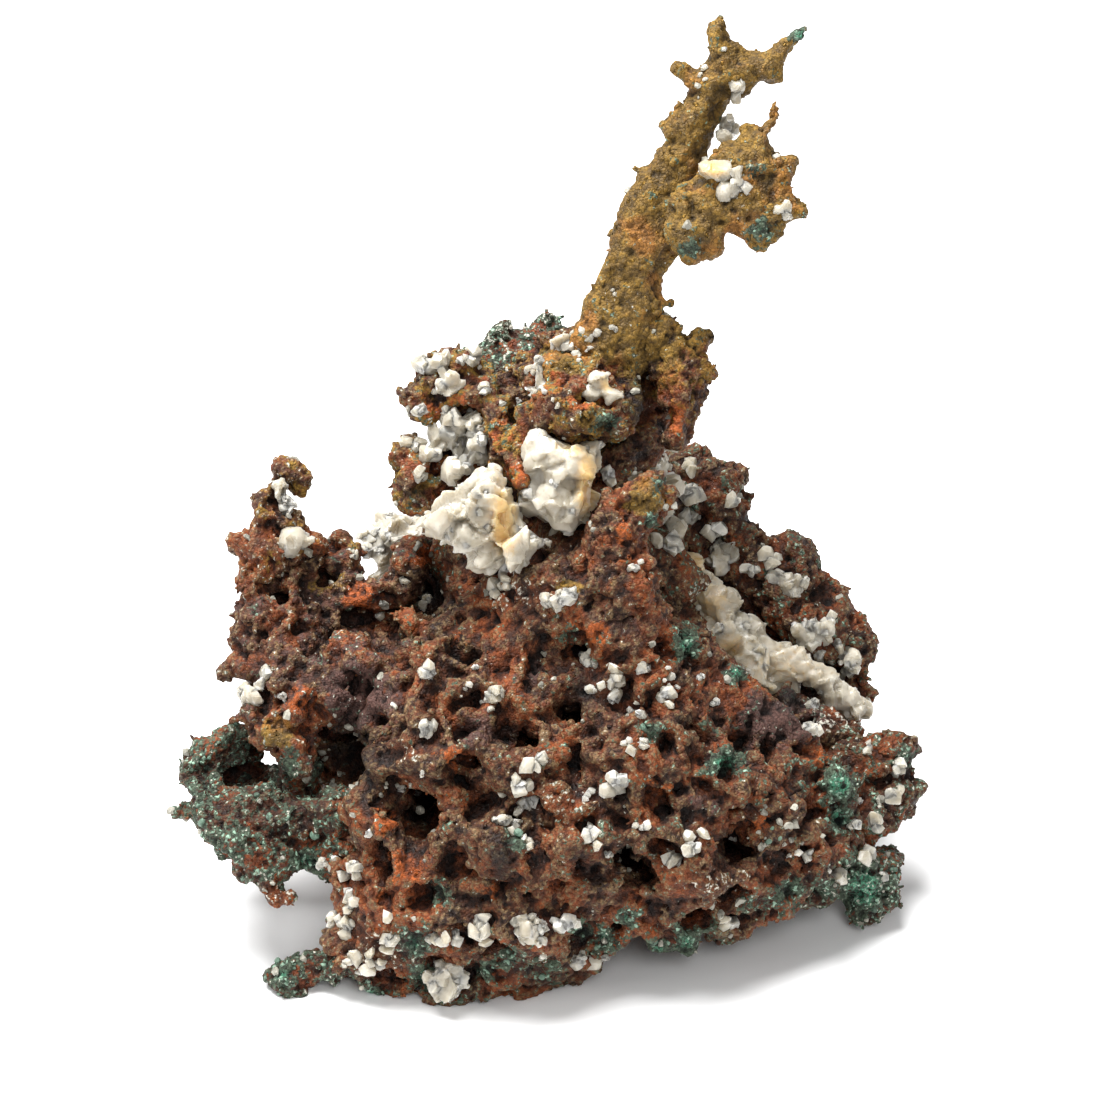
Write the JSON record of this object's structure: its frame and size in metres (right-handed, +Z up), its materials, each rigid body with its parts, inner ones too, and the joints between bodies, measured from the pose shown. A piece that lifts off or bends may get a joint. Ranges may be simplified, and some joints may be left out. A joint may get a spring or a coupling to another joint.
{
  "type": "native copper specimen",
  "caption": "Spongy native copper mass with a leaning forked horn, side lobes, milky calcite crystals and green malachite crust.",
  "frame": {"origin": "middle of the foot of the whole box, on the surface the specimen stands on", "axes": "+Z up, +X to the viewer's right, +Y away from the viewer"},
  "size_m": [0.1402, 0.1118, 0.1577],
  "materials": {
    "tarnished_copper": "granular tarnished crust",
    "ochre_copper": "pitted, mustard-brown film",
    "green_copper": "malachite crust",
    "calcite": "milky crystal",
    "amber_calcite": "milky crystal with a yellow heart"
  },
  "bodies": {
    "root": {"back_ridge": "tarnished_copper", "calcite_bead": "calcite", "calcite_block": "calcite", "calcite_cluster": "calcite", "calcite_crown": "calcite", "calcite_crown_left": "calcite", "calcite_drop": "calcite", "calcite_foot_chain": "calcite", "calcite_foot_edge": "calcite", "calcite_front_pair": "calcite", "calcite_head_chips": "calcite", "calcite_head_front": "amber_calcite", "calcite_head_left": "calcite", "calcite_horn_amber": "amber_calcite", "calcite_horn_back": "calcite", "calcite_horn_chips": "calcite", "calcite_horn_collar": "calcite", "calcite_horn_edge": "calcite", "calcite_rear_left": "calcite", "calcite_rear_plate": "calcite", "calcite_ridge_edge": "calcite", "calcite_ridge_front": "calcite", "calcite_ridge_top": "calcite", "calcite_ridge_upper": "calcite", "calcite_rim_lower": "calcite", "calcite_rim_upper": "calcite", "calcite_spur": "calcite", "calcite_spur_foot": "calcite", "calcite_vein": "calcite", "copper_mass": "tarnished_copper", "front_foot": "green_copper", "head": "ochre_copper", "head_claw": "tarnished_copper", "horn_left_prong": "ochre_copper", "horn_right_prong": "ochre_copper", "horn_side_branch": "ochre_copper", "horn_stem": "ochre_copper", "horn_tip": "ochre_copper", "left_shoulder": "tarnished_copper", "left_spur": "tarnished_copper", "left_wing": "green_copper", "rear_spires": "tarnished_copper", "right_foot": "green_copper", "right_lobe": "green_copper"}
  },
  "joints": []
}
